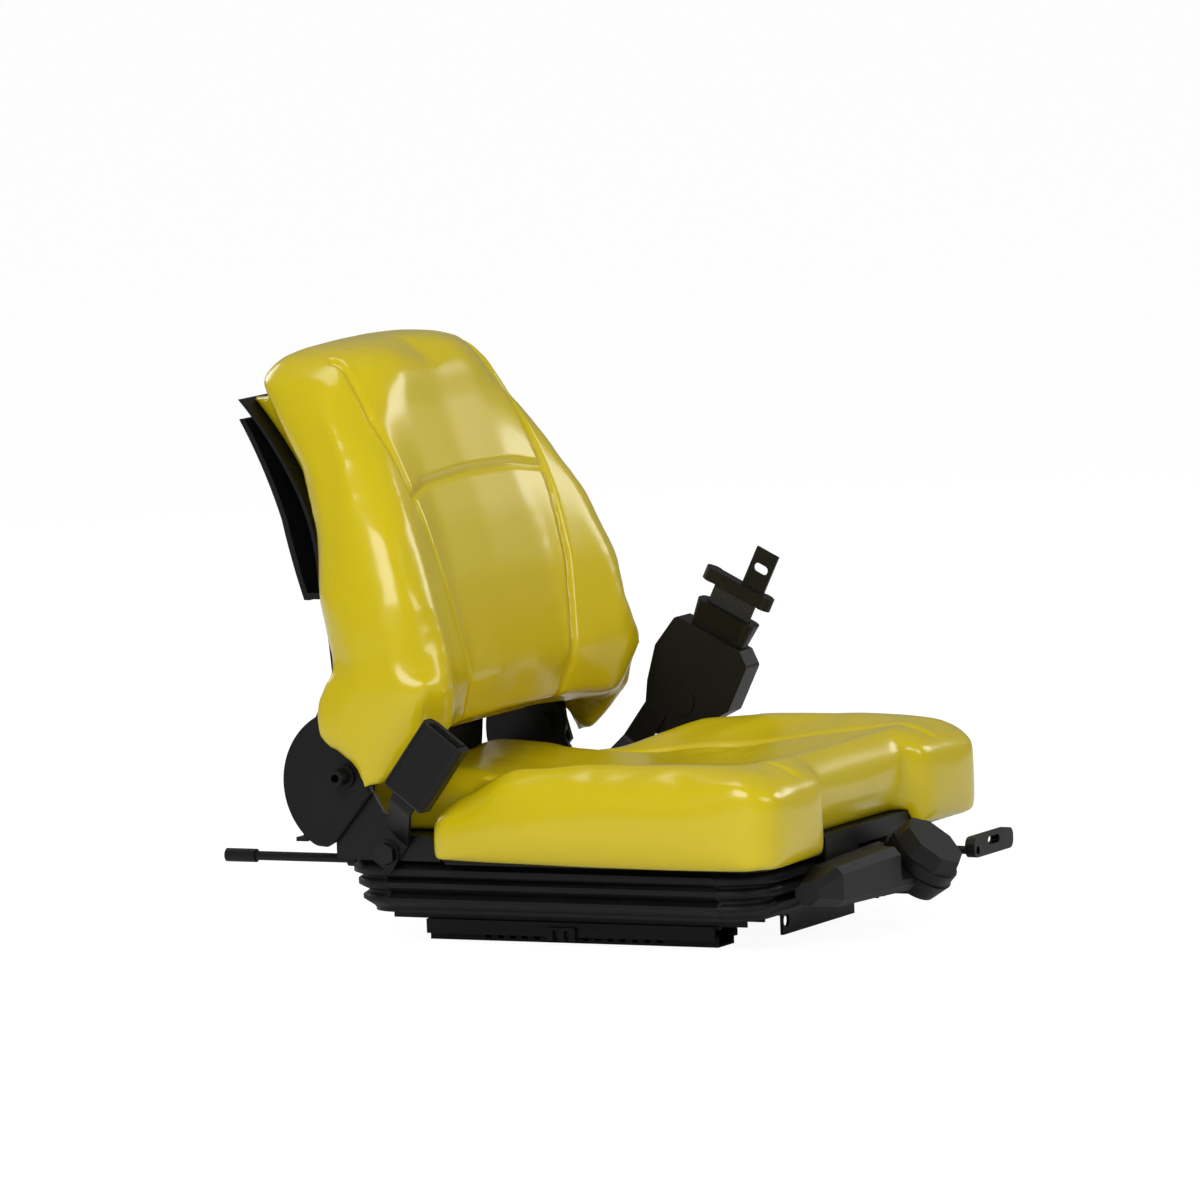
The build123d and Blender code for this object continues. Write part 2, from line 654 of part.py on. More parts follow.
with BuildPart() as belt_tongue:
    with BuildSketch(sleeve_base.offset(45)):
        SlotOverall(78, 13)
        with Locations((-30, 0), (30, 0)):
            Circle(8)
    extrude(amount=13)
    with BuildSketch(sleeve_base.offset(44)):
        RectangleRounded(webbing_width + 3, webbing_thick + 2, 1.5)
    extrude(amount=10, mode=Mode.SUBTRACT)
    with BuildSketch(sleeve_base.offset(57)):
        with Locations((14, 0)):
            Rectangle(25, 3)
    extrude(amount=42)
    with BuildSketch(Plane(origin=sleeve_base.origin, x_dir=sleeve_base.x_dir, z_dir=sleeve_base.y_dir)):
        with Locations((14, -80)):
            SlotOverall(16, 9)
    extrude(amount=20, both=True, mode=Mode.SUBTRACT)
pieces["belt_tongue"] = belt_tongue

# weight adjuster: moulded horn and collar on the pan, faceted knob on a tilted spindle
drum_axis = (0, -cos(radians(drum_lean)), sin(radians(drum_lean)))
drum = Plane(origin=drum_centre, x_dir=(1, 0, 0), z_dir=drum_axis)
spindle_r = 7
with BuildPart() as adjuster_housing:
    for x, y, z, deep, tall in ((horn_tip, -268, 60, 24, 22), (-130, -270, 62, 38, 38), (-60, -271.5, 63, 42, 42),
                                (14, -273, 63, 46, 46)):
        with BuildSketch(Plane.YZ.offset(x)):
            with Locations((y, z)):
                Rectangle(deep, tall)
            chamfer(vertices(), horn_edge)
    loft(ruled=True)
    with BuildSketch(drum.offset(-24)):
        Circle(drum_r - 4)
    extrude(amount=20, taper=-collar_taper)
    with BuildSketch(drum.offset(-4)):
        Circle(60)
    extrude(amount=60, mode=Mode.SUBTRACT)
    with BuildSketch(drum.offset(-50)):
        Circle(spindle_r + 0.06)
    extrude(amount=60, mode=Mode.SUBTRACT)
pieces["adjuster_housing"] = adjuster_housing

with BuildPart() as adjuster_knob:
    with BuildSketch(drum.offset(-3.6)):
        Circle(drum_r)
    extrude(amount=12)
    with BuildSketch(drum.offset(8.4)):
        RegularPolygon(drum_r, 8)
    extrude(amount=16, taper=14)
    with BuildSketch(drum.offset(-3.6)):
        Circle(spindle_r + 0.02)
    extrude(amount=16, mode=Mode.SUBTRACT)
pieces["adjuster_knob"] = adjuster_knob

with BuildPart() as adjuster_spindle:
    with BuildSketch(drum.offset(-23)):
        Circle(spindle_r)
    extrude(amount=35)
pieces["adjuster_spindle"] = adjuster_spindle

with BuildPart() as adjuster_bracket:
    with Locations((-50, pan_front - 1.4, 80)):
        Box(70, 2.5, 44)
pieces["adjuster_bracket"] = adjuster_bracket

# fore and aft lever, hung from the tray
lever_hang = (lever_x, riser_front - 11, lever_pivot_z)
with BuildPart() as lever_ears:
    for edge in (-1, 1):
        with Locations((lever_x + edge * 7, lever_hang[1], (lever_pivot_z - 8 + tray_z - tray_sheet) / 2)):
            Box(2.5, 18, tray_z - tray_sheet - lever_pivot_z + 8)
    with Locations(lever_hang):
        Cylinder(3.05, 30, rotation=(0, 90, 0), mode=Mode.SUBTRACT)
pieces["lever_ears"] = lever_ears

with BuildPart() as lever_pin:
    with Locations(lever_hang):
        Cylinder(3, 19, rotation=(0, 90, 0))
    for edge in (-1, 1):
        with BuildSketch(Plane.YZ.offset(lever_x + edge * 8.6 + min(edge, 0) * 2)):
            with Locations((lever_hang[1], lever_pivot_z)):
                RegularPolygon(5.5, 6)
        extrude(amount=2)
pieces["lever_pin"] = lever_pin

grip_y = -304
grip_z = 67
with BuildPart() as lever_rod:
    with BuildLine(Plane.YZ.offset(lever_x)) as bar:
        Polyline((lever_hang[1], lever_pivot_z), (-248, lever_pivot_z), (-256, lever_pivot_z + 5),
                 (-274, grip_z - 8), (-282, grip_z - 3), (grip_y, grip_z - 3))
    with BuildSketch(Plane(origin=lever_hang, z_dir=(0, -1, 0))):
        Circle(lever_rod_r)
    sweep(path=bar.wires()[0], transition=Transition.RIGHT)
    with Locations(lever_hang):
        Cylinder(7, 11, rotation=(0, 90, 0))
        Cylinder(3.05, 30, rotation=(0, 90, 0), mode=Mode.SUBTRACT)
pieces["lever_rod"] = lever_rod

with BuildPart() as lever_grip:
    with BuildSketch(Plane.XZ.offset(-grip_y - 5)):
        with Locations((lever_x + 36, grip_z)):
            RectangleRounded(88, 20, 8)
        with Locations((lever_x + 36, grip_z + 3)):
            SlotOverall(26, 8, mode=Mode.SUBTRACT)
    extrude(amount=10)
    with Locations((lever_x, grip_y, grip_z - 3)):
        Cylinder(lever_rod_r + 0.02, 30, rotation=(90, 0, 0), mode=Mode.SUBTRACT)
pieces["lever_grip"] = lever_grip

# recline lever on the left cover
lever_layer = cover_x + cover_thick + 0.5
with BuildPart() as recline_lever:
    with BuildSketch(Plane(origin=(lever_layer, recline_y, recline_z), x_dir=(0, -0.65, -0.76), z_dir=(1, 0, 0))):
        with Locations((recline_reach / 2, 0)):
            SlotCenterToCenter(recline_reach, 16)
        Circle(4.05, mode=Mode.SUBTRACT)
    extrude(amount=4)
    with BuildSketch(Plane(origin=(lever_layer + 4, recline_y, recline_z), x_dir=(0, -0.65, -0.76), z_dir=(1, 0, 0))):
        with Locations((recline_reach - recline_grip / 2, 0)):
            SlotCenterToCenter(recline_grip, 20)
    extrude(amount=8)
pieces["recline_lever"] = recline_lever

with BuildPart() as recline_pin:
    with Locations((lever_layer - 1.3, recline_y, recline_z)):
        Cylinder(4, 12, rotation=(0, 90, 0))
    with BuildSketch(Plane.YZ.offset(lever_layer + 4.7)):
        with Locations((recline_y, recline_z)):
            RegularPolygon(7.5, 6)
    extrude(amount=2)
pieces["recline_pin"] = recline_pin

# switch lead at the rear, in a clip on the pan
with BuildPart() as lead_clip:
    with Locations((lead_x, pan_rear + 1.35, lead_z + 13)):
        Box(16, 2.5, 16)
    with Locations((lead_x, pan_rear + 8.5, lead_z)):
        Cylinder(7.5, 9, rotation=(90, 0, 0))
    with Locations((lead_x, pan_rear + 4.5, lead_z + 7)):
        Box(10, 6, 5)
pieces["lead_clip"] = lead_clip

lead_start = pan_rear + 13.05
with BuildPart() as switch_lead:
    with BuildSketch(Plane(origin=(lead_x, lead_start, lead_z), z_dir=(0, 1, 0))):
        Circle(lead_r)
    extrude(amount=lead_end - lead_start)
pieces["switch_lead"] = switch_lead

with BuildPart() as lead_connector:
    with BuildSketch(Plane(origin=(lead_x, lead_end + 0.05, lead_z), z_dir=(0, 1, 0))):
        Circle(connector_r)
    extrude(amount=connector_length)
pieces["lead_connector"] = lead_connector

for piece, builder in pieces.items():
    builder.part.label = piece
    export_step(builder.part, f"parts/{piece}.step")
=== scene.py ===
"""Looks of a low-profile suspension seat: glossy yellow vinyl over black steel, rubber and plastic."""
import json
from math import cos, exp, pi, radians, sin

import bmesh
import bpy
from mathutils import Matrix, Vector


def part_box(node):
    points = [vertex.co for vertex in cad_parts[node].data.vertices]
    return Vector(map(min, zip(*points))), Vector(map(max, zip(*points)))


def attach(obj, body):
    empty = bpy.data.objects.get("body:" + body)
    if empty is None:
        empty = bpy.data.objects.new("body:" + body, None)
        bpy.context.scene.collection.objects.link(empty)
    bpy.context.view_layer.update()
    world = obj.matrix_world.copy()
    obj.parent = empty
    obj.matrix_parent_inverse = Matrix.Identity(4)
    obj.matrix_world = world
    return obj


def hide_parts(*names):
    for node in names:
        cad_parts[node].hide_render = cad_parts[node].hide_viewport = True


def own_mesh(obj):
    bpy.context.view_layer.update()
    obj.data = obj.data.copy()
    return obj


bl_info = {
    "name": "Low-profile Suspension Seat",
    "version": (1, 0, 0),
    "blender": (4, 5, 0),
    "location": "View3D > Sidebar > Seat",
    "description": "Dresses a sprung driver seat with upholstery, bellows, lead and finishes",
    "category": "Object",
}

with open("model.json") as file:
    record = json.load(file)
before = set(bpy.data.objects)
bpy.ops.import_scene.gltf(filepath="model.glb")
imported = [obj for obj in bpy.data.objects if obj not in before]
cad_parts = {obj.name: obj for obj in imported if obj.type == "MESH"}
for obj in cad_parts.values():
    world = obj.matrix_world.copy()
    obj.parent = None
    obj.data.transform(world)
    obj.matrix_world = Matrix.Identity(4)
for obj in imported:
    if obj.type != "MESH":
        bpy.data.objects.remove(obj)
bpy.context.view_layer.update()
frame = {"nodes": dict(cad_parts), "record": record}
mm = 0.001

# Sewn lines in mm: x and y on the seat, x and z on the back. The first two are mirrored to the other side.
seat_seam = ((150, -250), (138, -120), (126, 20), (112, 90))
back_seam = ((126, 556), (140, 500), (137, 429), (132, 377), (128, 340), (110, 257), (98, 190))
cross_seam = ((-137, 427), (-93, 435), (0, 438), (93, 435), (137, 427))

# The seat's seams are shallower and wider than the back's.
seat_seam_depth_share = 0.6
seat_seam_width_share = 1.3
groove_reach = 3  # groove widths, past which a seam leaves the padding alone
seam_facing = 0.15  # least share of a face's normal along the sewn side
rear_facing = 0.3  # the same for the rear of the back cushion

weld_gap = 0.01 * mm
cloth_frames = 12

# The two suspension springs.
spring_offset = 60 * mm
coil_radius = 21 * mm
spring_wire = 3 * mm  # radius
spring_turns = 6
turn_steps = 24
wire_sides = 8

lead_spans = 4

# Stage: name, place, size and power of each soft light, and how bright the floor and the surround look.
lights = (
    ("key", (-2.6, -0.3, 1.7), 1.5, 50),
    ("front", (-0.4, -2.8, 1.5), 1.0, 18),
    ("top", (0.2, 0.3, 2.6), 1.2, 14),
    ("far", (2.2, -1.6, 1.4), 0.9, 14),
    ("rear", (1.0, 2.8, 1.7), 1.4, 24),
)
light_target = (0, 0, 0.25)
floor_half = 30
floor_tone = (0.9, 0.9, 0.9)
floor_glow = 1.18
floor_glow_share = 0.8
surround_light = 0.22
surround_seen = 1.0


class Wire:
    """A shader socket that takes part in Python maths."""

    def __init__(self, finish, socket):
        self.finish = finish
        self.socket = socket

    def math(self, operation, other, swap=False):
        first, second = (other, self) if swap else (self, other)
        return self.finish.node("ShaderNodeMath", {"operation": operation}, {0: first, 1: second})

    def __add__(self, other):
        return self.math("ADD", other)

    __radd__ = __add__

    def __sub__(self, other):
        return self.math("SUBTRACT", other)

    def __rsub__(self, other):
        return self.math("SUBTRACT", other, swap=True)

    def __mul__(self, other):
        return self.math("MULTIPLY", other)

    __rmul__ = __mul__


class Finish:
    """A node material with one Principled shader, built up node by node."""

    def __init__(self, name, color):
        self.material = bpy.data.materials.new(name)
        self.material.use_nodes = True
        self.material.diffuse_color = (*color, 1.0)
        self.tree = self.material.node_tree
        self.shader = self.tree.nodes["Principled BSDF"]
        self.place = self.node("ShaderNodeTexCoord", output="Object")

    def node(self, kind, settings=None, inputs=None, output=0):
        """Adds a node with its settings and socket values, and returns one output as a Wire."""
        made = self.tree.nodes.new(kind)
        for key, value in (settings or {}).items():
            setattr(made, key, value)
        for key, value in (inputs or {}).items():
            self.feed(made.inputs[key], value)
        return Wire(self, made.outputs[output])

    def feed(self, socket, value):
        """Links a Wire to a socket, or sets the socket's own value."""
        if isinstance(value, Wire):
            self.tree.links.new(value.socket, socket)
        else:
            socket.default_value = value

    def shade(self, **values):
        """Sets Principled sockets, with underscores for spaces in their names."""
        for key, value in values.items():
            self.feed(self.shader.inputs[key.replace("_", " ")], value)

    def noise(self, scale, detail=2.0):
        return self.node("ShaderNodeTexNoise", None, {"Vector": self.place, "Scale": scale, "Detail": detail})

    def cells(self, scale):
        return self.node("ShaderNodeTexVoronoi", {"feature": "F1"},
                         {"Vector": self.place, "Scale": scale}, "Distance")

    def blend(self, factor, dark, light):
        """Mixes two colours by a factor."""
        return self.node("ShaderNodeMix", {"data_type": "RGBA"},
                         {0: factor, 6: (*dark, 1.0), 7: (*light, 1.0)}, 2)

    def bump(self, height, strength, distance):
        return self.node("ShaderNodeBump", None,
                         {"Height": height, "Strength": strength, "Distance": distance})


def shade_of(color, factor):
    """A lighter or darker colour."""
    return tuple(min(1.0, channel * factor) for channel in color)


class SeatColours(bpy.types.PropertyGroup):
    """Colours that a user would change."""

    vinyl: bpy.props.FloatVectorProperty(
        name="Vinyl", description="Upholstery colour", subtype="COLOR",
        default=(0.62, 0.485, 0.004), min=0, max=1)
    plastic: bpy.props.FloatVectorProperty(
        name="Plastic", description="Moulded covers, buckle and knob", subtype="COLOR",
        default=(0.004, 0.004, 0.004), min=0, max=1)
    steel: bpy.props.FloatVectorProperty(
        name="Painted steel", description="Rails, pan and brackets", subtype="COLOR",
        default=(0.004, 0.004, 0.004), min=0, max=1)
    rubber: bpy.props.FloatVectorProperty(
        name="Rubber", description="Bellows and bump stops", subtype="COLOR",
        default=(0.004, 0.004, 0.004), min=0, max=1)
    webbing: bpy.props.FloatVectorProperty(
        name="Webbing", description="Lap belt webbing", subtype="COLOR",
        default=(0.012, 0.012, 0.012), min=0, max=1)
    zinc: bpy.props.FloatVectorProperty(
        name="Plating", description="Bolts, pins and springs", subtype="COLOR",
        default=(0.035, 0.035, 0.034), min=0, max=1)
    nylon: bpy.props.FloatVectorProperty(
        name="Nylon", description="Glides and rollers", subtype="COLOR",
        default=(0.62, 0.60, 0.54), min=0, max=1)


class SeatSizes(bpy.types.PropertyGroup):
    """Sizes of the upholstery's make and of the lead."""

    voxel: bpy.props.FloatProperty(
        name="Cushion grain", description="Mesh step of the padded cushions",
        default=5.5 * mm, unit="LENGTH")
    swell: bpy.props.FloatProperty(
        name="Swell", description="Most that the padding swells",
        default=5 * mm, unit="LENGTH")
    seam_depth: bpy.props.FloatProperty(
        name="Seam depth", description="Depth of the sewn grooves",
        default=4.5 * mm, unit="LENGTH")
    seam_width: bpy.props.FloatProperty(
        name="Seam width", description="Half width of the sewn grooves",
        default=3.4 * mm, unit="LENGTH")
    rest_gap: bpy.props.FloatProperty(
        name="Rest gap", description="Clearance of a cushion from the pan or shell that it lies on",
        default=0.4 * mm, unit="LENGTH")
    shell_reach: bpy.props.FloatProperty(
        name="Shell reach", description="Most that the back's padding fills out to its shell",
        default=60 * mm, unit="LENGTH")
    shell_edge: bpy.props.FloatProperty(
        name="Shell edge", description="Width over which that filling tapers off",
        default=26 * mm, unit="LENGTH")
    lead_diameter: bpy.props.FloatProperty(
        name="Lead diameter", description="Sleeved lead of the seat switch",
        default=9 * mm, unit="LENGTH")


def vinyl_finish(color):
    """Glossy coated vinyl: a fine grain, slow changes of tone and a clear sheen."""
    made = Finish("seat_yellow_vinyl", color)
    tone = made.noise(7.0, 3.0)
    grain = made.cells(900.0)
    made.shade(Base_Color=made.blend(tone, shade_of(color, 0.90), shade_of(color, 1.06)),
               Roughness=0.20 + 0.10 * made.noise(60.0, 4.0),
               Normal=made.bump(grain, 0.06, 0.2 * mm), Coat_Weight=0.22, Coat_Roughness=0.10,
               Specular_IOR_Level=0.4)
    return made.material


def plastic_finish(color):
    """Moulded black plastic with a spark-eroded grain."""
    made = Finish("seat_black_plastic", color)
    grain = made.noise(1400.0, 2.0)
    worn = made.noise(24.0, 4.0)
    made.shade(Base_Color=made.blend(worn, shade_of(color, 0.8), shade_of(color, 1.5)),
               Roughness=0.36 + 0.16 * worn, Normal=made.bump(grain, 0.12, 0.1 * mm),
               Specular_IOR_Level=0.25)
    return made.material


def steel_finish(color):
    """Black powder coat with a faint orange peel."""
    made = Finish("seat_black_steel", color)
    peel = made.noise(420.0, 1.0)
    dust = made.noise(18.0, 5.0)
    made.shade(Base_Color=made.blend(dust, shade_of(color, 0.85), shade_of(color, 1.5)),
               Roughness=0.34 + 0.18 * dust, Normal=made.bump(peel, 0.10, 0.15 * mm),
               Specular_IOR_Level=0.28)
    return made.material


def rubber_finish(color):
    """Satin rubber with a bloom that comes and goes."""
    made = Finish("seat_bellows_rubber", color)
    bloom = made.noise(30.0, 5.0)
    made.shade(Base_Color=made.blend(bloom, shade_of(color, 0.8), shade_of(color, 1.7)),
               Roughness=0.42 + 0.2 * bloom, Normal=made.bump(made.noise(700.0), 0.08, 0.1 * mm),
               Specular_IOR_Level=0.25)
    return made.material


def zinc_finish(color):
    """Black-passivated zinc plate, a little clouded."""
    made = Finish("seat_zinc", color)
    cloud = made.noise(90.0, 4.0)
    made.shade(Base_Color=made.blend(cloud, shade_of(color, 0.8), shade_of(color, 1.15)), Metallic=1.0,
               Roughness=0.3 + 0.2 * cloud, Normal=made.bump(made.noise(900.0), 0.05, 0.05 * mm))
    return made.material


def nylon_finish(color):
    """Natural nylon."""
    made = Finish("seat_nylon", color)
    cloud = made.noise(60.0, 3.0)
    made.shade(Base_Color=made.blend(cloud, shade_of(color, 0.9), shade_of(color, 1.05)),
               Roughness=0.45 + 0.1 * cloud)
    return made.material


def webbing_finish(color):
    """Woven belt webbing: ribs along the belt, crossed by the weft."""
    made = Finish("seat_webbing", color)
    ribs = made.node("ShaderNodeTexWave", {"bands_direction": "Y"},
                     {"Vector": made.place, "Scale": 160.0}, "Fac")
    weft = made.node("ShaderNodeTexWave", {"bands_direction": "Z"},
                     {"Vector": made.place, "Scale": 220.0}, "Fac")
    weave = ribs * weft
    made.shade(Base_Color=made.blend(weave, shade_of(color, 0.7), shade_of(color, 1.8)),
               Roughness=0.7 - 0.15 * weave, Normal=made.bump(weave, 0.5, 0.4 * mm))
    return made.material


def seat_finish(slot):
    """Returns the finish of a material slot, made the first time it is asked for."""
    found = bpy.data.materials.get("seat_" + slot)
    if found:
        return found
    colours = bpy.context.scene.seat_colours
    makers = {"yellow_vinyl": (vinyl_finish, colours.vinyl), "black_plastic": (plastic_finish, colours.plastic),
              "black_steel": (steel_finish, colours.steel), "bellows_rubber": (rubber_finish, colours.rubber),
              "webbing": (webbing_finish, colours.webbing), "zinc": (zinc_finish, colours.zinc),
              "nylon": (nylon_finish, colours.nylon)}
    make, color = makers[slot]
    return make(tuple(color))


def dress(mesh, material):
    """Leaves a mesh with one material."""
    mesh.materials.clear()
    mesh.materials.append(material)


def new_piece(name, mesh, body, material):
    """Links a mesh as a piece that rides on a body."""
    piece = bpy.data.objects.new(name, mesh)
    bpy.context.scene.collection.objects.link(piece)
    dress(mesh, material)
    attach(piece, body)
    return piece


def merged_copy(node):
    """Copies a CAD node's mesh with its loose triangles joined."""
    mesh = frame["nodes"][node].data.copy()
    joined = bmesh.new()
    joined.from_mesh(mesh)
    bmesh.ops.remove_doubles(joined, verts=joined.verts, dist=weld_gap)
    joined.to_mesh(mesh)
    joined.free()
    return mesh


def applied(piece):
    """Bakes a piece's modifiers into its mesh."""
    graph = bpy.context.evaluated_depsgraph_get()
    mesh = bpy.data.meshes.new_from_object(piece.evaluated_get(graph))
    piece.modifiers.clear()
    piece.data = mesh


def pad_out(piece, voxel, smooth_steps, swell):
    """Remeshes a cushion, rounds its edges, swells it with a cloth simulation and refines it."""
    remesh = piece.modifiers.new("even", "REMESH")
    remesh.mode = "VOXEL"
    remesh.voxel_size = voxel
    rounding = piece.modifiers.new("round", "SMOOTH")
    rounding.factor = 0.5
    rounding.iterations = smooth_steps
    applied(piece)
    blow_up(piece, swell)
    finer(piece)


def blow_up(piece, swell):
    """Swells a cushion as cloth under pressure, with no point moving more than the given distance."""
    start = [vertex.co.copy() for vertex in piece.data.vertices]
    cloth = piece.modifiers.new("padding", "CLOTH")
    cloth.settings.quality = 4
    cloth.settings.tension_stiffness = 25
    cloth.settings.compression_stiffness = 25
    cloth.settings.bending_stiffness = 2
    cloth.settings.use_pressure = True
    cloth.settings.uniform_pressure_force = 4
    cloth.settings.effector_weights.gravity = 0
    cloth.collision_settings.use_collision = False
    for step in range(1, cloth_frames + 1):
        bpy.context.scene.frame_set(step)
    applied(piece)
    bpy.context.scene.frame_set(1)
    for vertex, old in zip(piece.data.vertices, start):
        move = vertex.co - old
        if move.length > swell:
            vertex.co = old + move.normalized() * swell


def finer(piece):
    """Relaxes a padded piece and subdivides it once."""
    relax = piece.modifiers.new("relax", "SMOOTH")
    relax.factor = 0.5
    relax.iterations = 8
    smooth = piece.modifiers.new("finer", "SUBSURF")
    smooth.levels = 1
    applied(piece)


def rest_on(piece, node, gap):
    """Holds a cushion flat where it lies on a node."""
    low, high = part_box(node)
    for vertex in piece.data.vertices:
        if low[0] < vertex.co.x < high[0] and low[1] < vertex.co.y < high[1]:
            vertex.co.z = max(vertex.co.z, high[2] + gap)


def fill_to(piece, node, reach, gap, edge):
    """Fills a cushion's rear out to the shell that backs it, tapering off at the shell's sides."""
    shell = frame["nodes"][node]
    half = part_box(node)[1][0]
    normals = [vertex.normal.copy() for vertex in piece.data.vertices]
    for vertex, normal in zip(piece.data.vertices, normals):
        if normal.y < rear_facing or abs(vertex.co.x) > half:
            continue
        hit, place, _, _ = shell.ray_cast(vertex.co, (0, 1, 0), distance=reach)
        if hit:
            inset = min(1.0, (half - abs(vertex.co.x)) / edge)
            vertex.co.y += max(0.0, place.y - vertex.co.y - gap) * inset * inset * (3 - 2 * inset)


def line_gap(point, line):
    """Distance from a point to a polyline, both in a plane."""
    gaps = []
    for a, b in zip(line, line[1:]):
        span = b - a
        along = max(0.0, min(1.0, (point - a).dot(span) / span.length_squared))
        gaps.append((point - a - along * span).length)
    return min(gaps)


def sewn(points, side=1):
    """A seam's points in metres, mirrored where side is -1."""
    return [Vector((side * x * mm, other * mm)) for x, other in points]


def press_seams(mesh, lines, flatten, facing, depth, width):
    """Presses sewn grooves into the faces that look the given way."""
    normals = [vertex.normal.copy() for vertex in mesh.vertices]
    for vertex, normal in zip(mesh.vertices, normals):
        if normal.dot(facing) < seam_facing:
            continue
        gap = min(line_gap(flatten(vertex.co), line) for line in lines)
        if gap < groove_reach * width:
            vertex.co -= normal * depth * exp(-((gap / width) ** 2))


class SEAT_OT_seat_cushion(bpy.types.Operator):
    """Makes the padded seat cushion."""

    bl_idname = "seat.seat_cushion"
    bl_label = "Seat cushion"

    def execute(self, context):
        sizes = context.scene.seat_sizes
        vinyl = seat_finish("yellow_vinyl")
        piece = new_piece("seat_padding", merged_copy("seat_cushion"), "seat_frame", vinyl)
        pad_out(piece, sizes.voxel, 14, sizes.swell)
        rest_on(piece, "seat_pan", sizes.rest_gap)
        seams = [sewn(seat_seam, side) for side in (-1, 1)]
        press_seams(piece.data, seams, lambda p: Vector((p.x, p.y)), Vector((0, 0, 1)),
                    sizes.seam_depth * seat_seam_depth_share, sizes.seam_width * seat_seam_width_share)
        piece.data.shade_smooth()
        dress(piece.data, vinyl)
        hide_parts("seat_cushion")
        return {"FINISHED"}


class SEAT_OT_back_cushion(bpy.types.Operator):
    """Makes the padded back cushion."""

    bl_idname = "seat.back_cushion"
    bl_label = "Back cushion"

    def execute(self, context):
        sizes = context.scene.seat_sizes
        vinyl = seat_finish("yellow_vinyl")
        piece = new_piece("back_padding", merged_copy("back_cushion"), "backrest", vinyl)
        pad_out(piece, sizes.voxel, 12, sizes.swell)
        fill_to(piece, "back_shell", sizes.shell_reach, sizes.rest_gap, sizes.shell_edge)
        seams = [sewn(back_seam, side) for side in (-1, 1)] + [sewn(cross_seam)]
        press_seams(piece.data, seams, lambda p: Vector((p.x, p.z)), Vector((0, -1, 0)),
                    sizes.seam_depth, sizes.seam_width)
        piece.data.shade_smooth()
        dress(piece.data, vinyl)
        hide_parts("back_cushion")
        return {"FINISHED"}


def wind_springs(low, high):
    """Winds the two springs between the lowest and highest corners of their box."""
    rise = (high[2] - low[2] - 2 * spring_wire) / (turn_steps * spring_turns)
    coil = bmesh.new()
    for side in (-1, 1):
        centre = Vector((side * spring_offset, (low[1] + high[1]) / 2, low[2] + spring_wire))
        start = Matrix.Translation(centre + Vector((coil_radius, 0, 0))) @ Matrix.Rotation(pi / 2, 4, "X")
        ring = bmesh.ops.create_circle(coil, segments=wire_sides, radius=spring_wire, matrix=start)
        edges = list({edge for vertex in ring["verts"] for edge in vertex.link_edges})
        bmesh.ops.spin(coil, geom=ring["verts"] + edges, cent=centre, axis=(0, 0, 1),
                       angle=2 * pi * spring_turns, steps=turn_steps * spring_turns,
                       dvec=(0, 0, rise), use_merge=False)
    bmesh.ops.holes_fill(coil, edges=coil.edges, sides=wire_sides)
    bmesh.ops.recalc_face_normals(coil, faces=coil.faces)
    mesh = bpy.data.meshes.new("spring_coils")
    coil.to_mesh(mesh)
    coil.free()
    mesh.shade_smooth()
    return mesh


class SEAT_OT_bellows(bpy.types.Operator):
    """Makes the rubber bellows and the suspension springs."""

    bl_idname = "seat.bellows"
    bl_label = "Bellows and springs"

    def execute(self, context):
        rubber = seat_finish("bellows_rubber")
        zinc = seat_finish("zinc")
        piece = new_piece("bellows_skin", merged_copy("bellows"), "slide_base", rubber)
        low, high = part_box("bellows")
        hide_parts("bellows")
        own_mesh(piece)
        low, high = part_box("suspension_springs")
        springs = new_piece("spring_coils", wind_springs(low, high), "slide_base", zinc)
        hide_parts("suspension_springs")
        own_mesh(springs)
        return {"FINISHED"}


class SEAT_OT_lead(bpy.types.Operator):
    """Makes the sleeved lead of the seat switch."""

    bl_idname = "seat.lead"
    bl_label = "Switch lead"

    def execute(self, context):
        sizes = context.scene.seat_sizes
        low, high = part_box("switch_lead")
        x, z = (low[0] + high[0]) / 2, (low[2] + high[2]) / 2
        curve = bpy.data.curves.new("lead_sleeve", "CURVE")
        curve.dimensions = "3D"
        curve.bevel_depth = sizes.lead_diameter / 2
        curve.bevel_resolution = 4
        curve.use_fill_caps = True
        spline = curve.splines.new("NURBS")
        spline.points.add(lead_spans)
        for step, point in enumerate(spline.points):
            point.co = (x, low[1] + (high[1] - low[1]) * step / lead_spans, z, 1)
        spline.order_u = 3
        spline.use_endpoint_u = True
        lead = bpy.data.objects.new("lead_sleeve", curve)
        context.scene.collection.objects.link(lead)
        curve.materials.append(seat_finish("black_plastic"))
        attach(lead, "seat_frame")
        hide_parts("switch_lead")
        return {"FINISHED"}


class SEAT_OT_finishes(bpy.types.Operator):
    """Gives every rigid piece its finish."""

    bl_idname = "seat.finishes"
    bl_label = "Finishes"

    def execute(self, context):
        for subpart in frame["record"]["subparts"]:
            dress(frame["nodes"][subpart["node"]].data, seat_finish(subpart["material_slot"]))
        return {"FINISHED"}


def aim(origin, target):
    """Turns a light or a camera at the origin towards the target."""
    return (Vector(target) - Vector(origin)).to_track_quat("-Z", "Y").to_matrix().to_4x4()


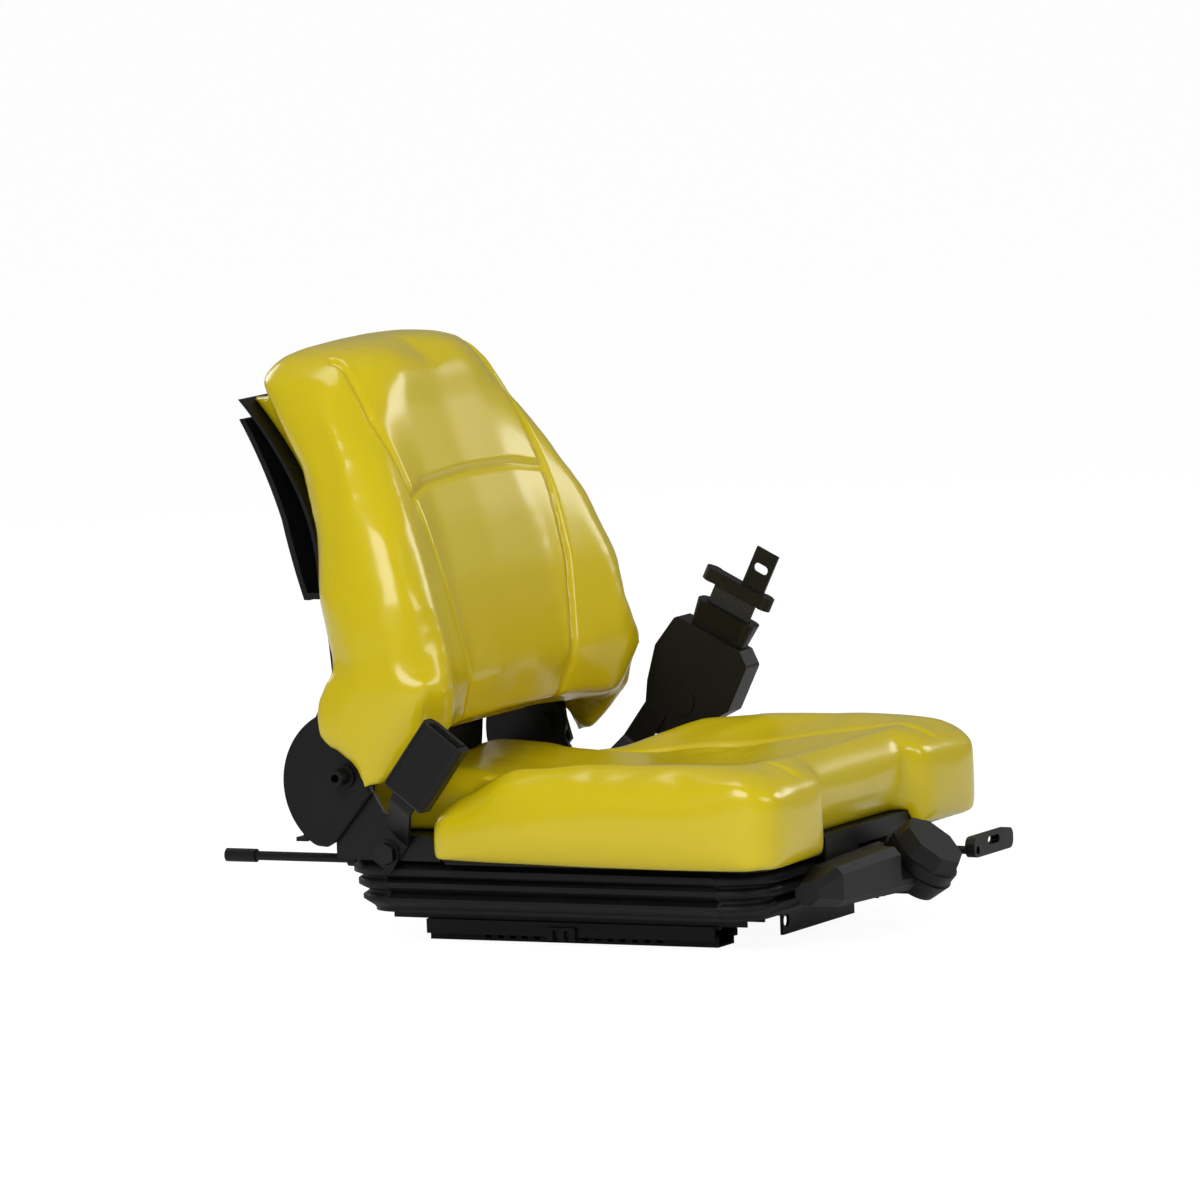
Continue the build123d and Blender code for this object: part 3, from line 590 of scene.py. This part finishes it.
class SEAT_OT_stage(bpy.types.Operator):
    """Sets the pale floor, the soft lights and the camera."""

    bl_idname = "seat.stage"
    bl_label = "Stage"

    def execute(self, context):
        scene = context.scene
        scene.view_settings.view_transform = "Standard"
        self.floor(scene)
        self.world(scene)
        for name, place, size, power in lights:
            lamp = bpy.data.lights.new(name, "AREA")
            lamp.size = size
            lamp.energy = power
            light = bpy.data.objects.new(name, lamp)
            light.matrix_world = Matrix.Translation(place) @ aim(place, light_target)
            scene.collection.objects.link(light)
        self.camera(scene)
        return {"FINISHED"}

    def floor(self, scene):
        """A wide pale floor that the camera sees as nearly white."""
        ground = bmesh.new()
        bmesh.ops.create_grid(ground, x_segments=1, y_segments=1, size=floor_half)
        mesh = bpy.data.meshes.new("floor")
        ground.to_mesh(mesh)
        ground.free()
        floor = bpy.data.objects.new("floor", mesh)
        scene.collection.objects.link(floor)
        made = Finish("pale_floor", floor_tone)
        made.shade(Base_Color=(*floor_tone, 1), Roughness=0.9)
        glow = made.tree.nodes.new("ShaderNodeEmission")
        glow.inputs["Strength"].default_value = floor_glow
        mix = made.tree.nodes.new("ShaderNodeMixShader")
        seen = made.node("ShaderNodeLightPath", output="Is Camera Ray")
        made.feed(mix.inputs[0], floor_glow_share * seen)
        made.tree.links.new(made.shader.outputs[0], mix.inputs[1])
        made.tree.links.new(glow.outputs[0], mix.inputs[2])
        made.tree.links.new(mix.outputs[0], made.tree.nodes["Material Output"].inputs["Surface"])
        mesh.materials.append(made.material)

    def world(self, scene):
        """A white surround that lights the seat less than the camera sees it."""
        world = bpy.data.worlds.new("studio")
        world.use_nodes = True
        scene.world = world
        tree = world.node_tree
        back = tree.nodes["Background"]
        path = tree.nodes.new("ShaderNodeLightPath")
        seen = tree.nodes.new("ShaderNodeMath")
        seen.operation = "MAXIMUM"
        tree.links.new(path.outputs["Is Camera Ray"], seen.inputs[0])
        tree.links.new(path.outputs["Is Transmission Ray"], seen.inputs[1])
        level = tree.nodes.new("ShaderNodeMapRange")
        level.inputs["To Min"].default_value = surround_light
        level.inputs["To Max"].default_value = surround_seen
        tree.links.new(seen.outputs[0], level.inputs["Value"])
        tree.links.new(level.outputs[0], back.inputs["Strength"])
        back.inputs["Color"].default_value = (1, 1, 1, 1)

    def camera(self, scene):
        """The photo's view: a long lens from the seat's right front, with a slight roll."""
        azimuth, elevation, roll, distance = radians(-63), radians(6.2), radians(-2.1), 12.0
        right = Vector((cos(azimuth), sin(azimuth), 0))
        back = Vector((sin(azimuth) * cos(elevation), -cos(azimuth) * cos(elevation), sin(elevation)))
        up = back.cross(right)
        turned = Matrix((cos(roll) * right + sin(roll) * up, cos(roll) * up - sin(roll) * right, back)).transposed()
        target = Vector((0.02096, 0.03322, 0.31078))
        lens = bpy.data.cameras.new("photo_view")
        lens.sensor_width = 36
        lens.lens = 375.84
        lens.clip_end = 100
        camera = bpy.data.objects.new("photo_view", lens)
        camera.matrix_world = Matrix.Translation(target + back * distance) @ turned.to_4x4()
        scene.collection.objects.link(camera)
        scene.camera = camera


class SEAT_PT_panel(bpy.types.Panel):
    """Lists the seat's operators."""

    bl_idname = "SEAT_PT_panel"
    bl_label = "Seat"
    bl_space_type = "VIEW_3D"
    bl_region_type = "UI"
    bl_category = "Seat"

    def draw(self, context):
        for operator in OPERATORS:
            self.layout.operator(operator.bl_idname)


OPERATORS = (SEAT_OT_seat_cushion, SEAT_OT_back_cushion, SEAT_OT_bellows, SEAT_OT_finishes, SEAT_OT_lead,
             SEAT_OT_stage)
CLASSES = (SeatColours, SeatSizes, *OPERATORS, SEAT_PT_panel)


def register():
    for entry in CLASSES:
        bpy.utils.register_class(entry)
    bpy.types.Scene.seat_colours = bpy.props.PointerProperty(type=SeatColours)
    bpy.types.Scene.seat_sizes = bpy.props.PointerProperty(type=SeatSizes)


def unregister():
    del bpy.types.Scene.seat_sizes
    del bpy.types.Scene.seat_colours
    for entry in reversed(CLASSES):
        bpy.utils.unregister_class(entry)


def main():
    register()
    bpy.ops.seat.seat_cushion()
    bpy.ops.seat.back_cushion()
    bpy.ops.seat.bellows()
    bpy.ops.seat.finishes()
    bpy.ops.seat.lead()
    bpy.ops.seat.stage()


if __name__ == "__main__":
    main()
